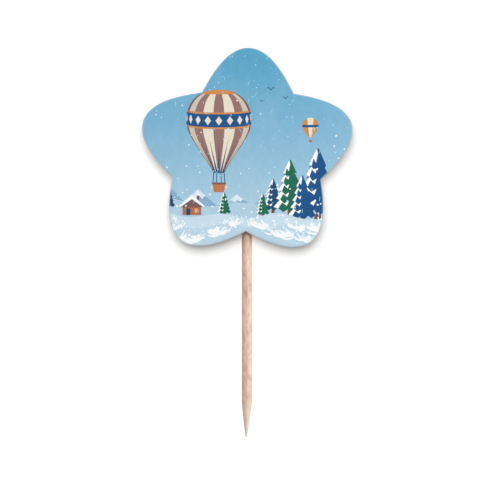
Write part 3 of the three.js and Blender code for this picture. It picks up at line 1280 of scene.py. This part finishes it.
def wrinkle(across, up):
    """How far the paper stands off its path, in mm."""
    spot = Vector((across, up))
    slack = math.exp(-(((abs(across) - arc_length - slope_length * 0.75) / 1.2) ** 2))
    ripple = 0.5 + 0.5 * wander(across * 0.5, up * 0.9, 3.0)
    bubble = max(0.0, wander(across * 0.35, up * 0.35, 9.0) - 0.15)
    corner = Vector((abs(across) - patch_flat_half, up - patch_tall)).length
    lift = max(0.0, 1 - corner / lift_reach) ** 2 * (left_lift if across < 0 else right_lift)
    folds = sum(crease(spot, *line) for line in creases)
    return gum_film + slack_depth * slack * ripple + bubble_depth * bubble + folds + lift


print(f"the upper left corner stands {wrinkle(-patch_flat_half, patch_tall):.2f} mm off the card")

# %% Model the patch
grid_step = 0.2
corner_steps = 8


def flat_patch():
    """Points and triangles of the flat patch: a rim with round corners, filled with a fine grid."""
    half, tall, r = patch_flat_half, patch_tall, patch_corner
    corners = [(half - r, r, -90), (half - r, tall - r, 0), (r - half, tall - r, 90), (r - half, r, 180)]
    rim = []
    for x, y, start in corners:
        for i in range(corner_steps + 1):
            a = math.radians(start + 90 * i / corner_steps)
            rim.append(Vector((x + r * math.cos(a), y + r * math.sin(a))))
    fine = []
    for i, p in enumerate(rim):
        q = rim[(i + 1) % len(rim)]
        parts = max(1, round((q - p).length / grid_step))
        fine += [p.lerp(q, k / parts) for k in range(parts)]
    grid = []
    columns, rows = int(2 * half / grid_step), int(tall / grid_step)
    for i in range(1, columns):
        for k in range(1, rows):
            p = Vector((-half + 2 * half * i / columns, tall * k / rows))
            x = max(abs(p.x) - (half - r), 0)
            y = max(abs(p.y - tall / 2) - (tall / 2 - r), 0)
            if math.hypot(x, y) < r - 0.4 * grid_step:
                grid.append(p)
    made, _, triangles, _, _, _ = delaunay_2d_cdt(fine + grid, [], [list(range(len(fine)))], 1, 1e-4)
    return made, triangles


def patch_shape():
    """The flat patch carried over the stick, as two skins with the paper's thickness between them."""
    made, triangles = flat_patch()
    count = len(made)
    verts = []
    for lift in (0.0, patch_thickness):
        for p in made:
            spot, out = on_patch(p.x)
            spot = spot + out * (wrinkle(p.x, p.y) + lift)
            verts.append((spot.x, spot.y, patch_foot + p.y))
    faces = [tuple(t) for t in triangles] + [tuple(i + count for i in reversed(t)) for t in triangles]
    sides = [(a, b) for t in triangles for a, b in zip(t, [*t[1:], t[0]])]
    known = set(sides)
    faces += [(b, a, a + count, b + count) for a, b in sides if (b, a) not in known]
    return verts, faces


patch_mesh = mesh_from("paper_patch", *patch_shape())
print(len(patch_mesh.polygons), "faces in the patch")

# %% [markdown]
# ### Paper
# Self-adhesive paper is matt and very nearly white. Plain white would look like plastic, so it has a
# soft mottle and short fibres that lie mostly across it, and the wrinkles above give it the rest.

# %% Finish of the patch
def paper_finish():
    """White self-adhesive paper with a soft mottle and short fibres."""
    paper = Finish("plain_paper")
    mottle = paper.noise(700, 4, 0.6)
    fibres = paper.noise(1.0, 4, 0.7, paper.stretched((2200, 2200, 5200)))
    base = paper.two_tone(mottle, colour(236, 235, 229), colour(248, 247, 243))
    base = paper.tint(base, fibres, 0.5, 0.8, 0.22, colour(218, 214, 204))
    paper.set(base_color=base, roughness=paper.spread(fibres, 0.3, 0.7, 0.7, 0.85), specular_ior_level=0.25)
    paper.relief(paper.sum(fibres, mottle, 0.3), 0.006, 0.8)
    return paper


patch = piece(patch_mesh, [paper_finish()], sharp=40)
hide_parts("backing_patch")

# %% [markdown]
# ## The glue
# Hot-melt glue is laid as a bead and the stick is pushed into it, so it is squeezed up at both sides
# and sets milky and slightly see-through. Its section is one closed loop: flat on the card, a soft
# bulge up to the stick at each side, and the hollow in which the stick lies. A plain sweep of it would
# look moulded, so the loop swells and shrinks along the bead, and narrows at both of its ends.

# %% Section of the glue
seat_gap = 0.015
bulge_steps = 12
seat_steps = 14


def glue_section(width, grip, stick_r):
    """One closed loop. width is half the bead's width, grip the angle up the stick that it reaches."""
    reach = stick_r + seat_gap
    side = Vector((reach * math.cos(grip), reach * math.sin(grip)))
    foot = Vector((width, card_back))
    upright = foot + Vector((0, 0.5 * (side.y - card_back)))
    outward = side + Vector((0.35 * (width - side.x), 0))
    loop = [cubic(foot, upright, outward, side, i / bulge_steps) for i in range(bulge_steps + 1)]
    for i in range(1, seat_steps):
        a = grip + (-math.pi - 2 * grip) * i / seat_steps
        loop.append(Vector((reach * math.cos(a), reach * math.sin(a))))
    loop += [Vector((-p.x, p.y)) for p in reversed(loop[: bulge_steps + 1])]
    return loop


section_points = len(glue_section(2.0, 0.0, stick_radius))
print(section_points, "points round the glue's section")

# %% Model the glue
glue_half_width = (glue_high.x - glue_low.x) / 2
glue_rings = 110
grip_under_paper = math.radians(-4)
grip_in_open = math.radians(8)
grip_lost_at_end = math.radians(55)


def glue_shape():
    """The section carried up the stick, narrow and low at both ends, and closed there."""
    foot, top = glue_low.z, glue_high.z
    verts = []
    for ring in range(glue_rings + 1):
        share = ring / glue_rings
        height = foot + (top - foot) * share
        round_end = (1 - abs(2 * share - 1) ** 7) ** 0.5
        lumps = 1 + 0.10 * wander(height * 0.55, 1.3, 0) + 0.05 * wander(height * 1.7, 5, 0)
        under_paper = height < patch_high.z + 0.2
        width = glue_half_width * (0.9 if under_paper else 0.97) * lumps * max(round_end, 0.02)
        stick_r = stick_profile(min(height, stick_length - height))
        grip = grip_under_paper if under_paper else grip_in_open
        grip += 0.12 * wander(height * 0.8, 8, 0)
        grip -= grip_lost_at_end * (1 - round_end)
        width = max(width, (stick_r + seat_gap) * math.cos(grip) + 0.02)
        verts += [(p.x, p.y, height) for p in glue_section(width, grip, stick_r)]
    count = section_points
    faces = []
    for ring in range(glue_rings):
        a, b = ring * count, (ring + 1) * count
        for i in range(count):
            j = (i + 1) % count
            faces.append((a + i, a + j, b + j, b + i))
    faces.append(tuple(range(count))[::-1])
    faces.append(tuple(glue_rings * count + i for i in range(count)))
    return verts, faces


glue_mesh = mesh_from("glue_bead_soft", *glue_shape())
print(f"glue {2 * glue_half_width:.1f} mm wide, {glue_high.z - glue_low.z:.1f} mm long")

# %% Finish of the glue
def glue_finish():
    """Set hot-melt glue: milky, faintly amber, with a wet-looking skin and tiny bubbles."""
    glue = Finish("hot_melt_glue")
    cloud = glue.noise(900, 3, 0.6)
    bubbles = glue.spread(glue.cells(2600), 0.0, 0.28, 1.0, 0.0)
    base = glue.two_tone(cloud, colour(238, 229, 206), colour(248, 243, 228))
    base = glue.tint(base, bubbles, 0, 1, 0.35, colour(250, 247, 238))
    glue.set(base_color=base, roughness=glue.spread(cloud, 0.3, 0.7, 0.22, 0.34))
    glue.set(subsurface_weight=0.6, subsurface_scale=0.8 * MM, subsurface_radius=(1.0, 0.9, 0.7))
    glue.relief(glue.sum(cloud, bubbles, 0.3), 0.02, 0.6)
    return glue


glue_piece = piece(glue_mesh, [glue_finish()], sharp=50)
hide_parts("glue_bead")

# %% [markdown]
# ## Which lamp lights what
# The lamp of the sheet lights nothing else and is shaded by the card alone. The lamps of the pick
# leave the sheet alone, so that neither can spoil the other.

# %% Share the lamps out
def group(name, *things):
    """A collection that a lamp can be told to light, or to be shaded by."""
    made = bpy.data.collections.new(name)
    for thing in things:
        made.objects.link(thing)
    return made


pick_parts = group("pick_parts", star_card, toothpick, patch, glue_piece)
sheet_lamp.light_linking.receiver_collection = group("sheet_only", white_sheet)
sheet_lamp.light_linking.blocker_collection = group("card_only", star_card)
for thing in (key_lamp, right_lamp, back_lamp):
    thing.light_linking.receiver_collection = pick_parts

# %% [markdown]
